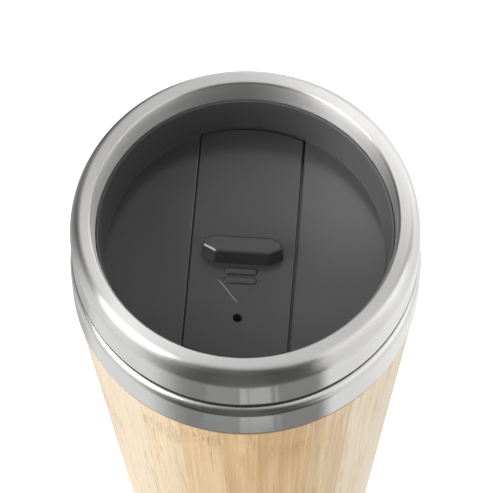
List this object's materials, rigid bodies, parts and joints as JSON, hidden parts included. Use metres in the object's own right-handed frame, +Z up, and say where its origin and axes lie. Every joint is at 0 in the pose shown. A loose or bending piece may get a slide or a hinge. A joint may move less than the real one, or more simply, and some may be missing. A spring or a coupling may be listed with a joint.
{
  "type": "insulated mug",
  "caption": "Tapered double-wall steel travel mug in a bamboo sleeve, with a sunken push-in lid whose full-length slider opens a drink slot.",
  "frame": {"origin": "centre of the foot pad's underside, on the surface that the mug stands on", "axes": "+Z up along the mug's axis, +Y towards the drinking side of the lid, +X to the right when facing the drinking side"},
  "size_m": [0.088, 0.088, 0.17],
  "materials": {
    "steel": "satin brushed stainless steel",
    "bamboo": "sanded bamboo with a thin clear seal",
    "lid_plastic": "satin moulded polypropylene",
    "silicone": "matt silicone"
  },
  "bodies": {
    "mug": {"cup": "steel", "joint_ring": "lid_plastic", "outer_shell": "steel", "bamboo_sleeve": "bamboo", "base_cap": "steel", "foot_pad": "silicone"},
    "lid": {"lid": "lid_plastic", "lid_gasket": "silicone"},
    "slider": {"slider": "lid_plastic", "slider_seal": "silicone"}
  },
  "joints": [
    {"name": "lid_lift", "type": "slide", "parent": "mug", "child": "lid", "axis": [0, 0, 1], "range_m": [0, 0.05]},
    {"name": "slider_slide", "type": "slide", "parent": "lid", "child": "slider", "axis": [0, -1, 0], "range_m": [0, 0.0051]}
  ]
}
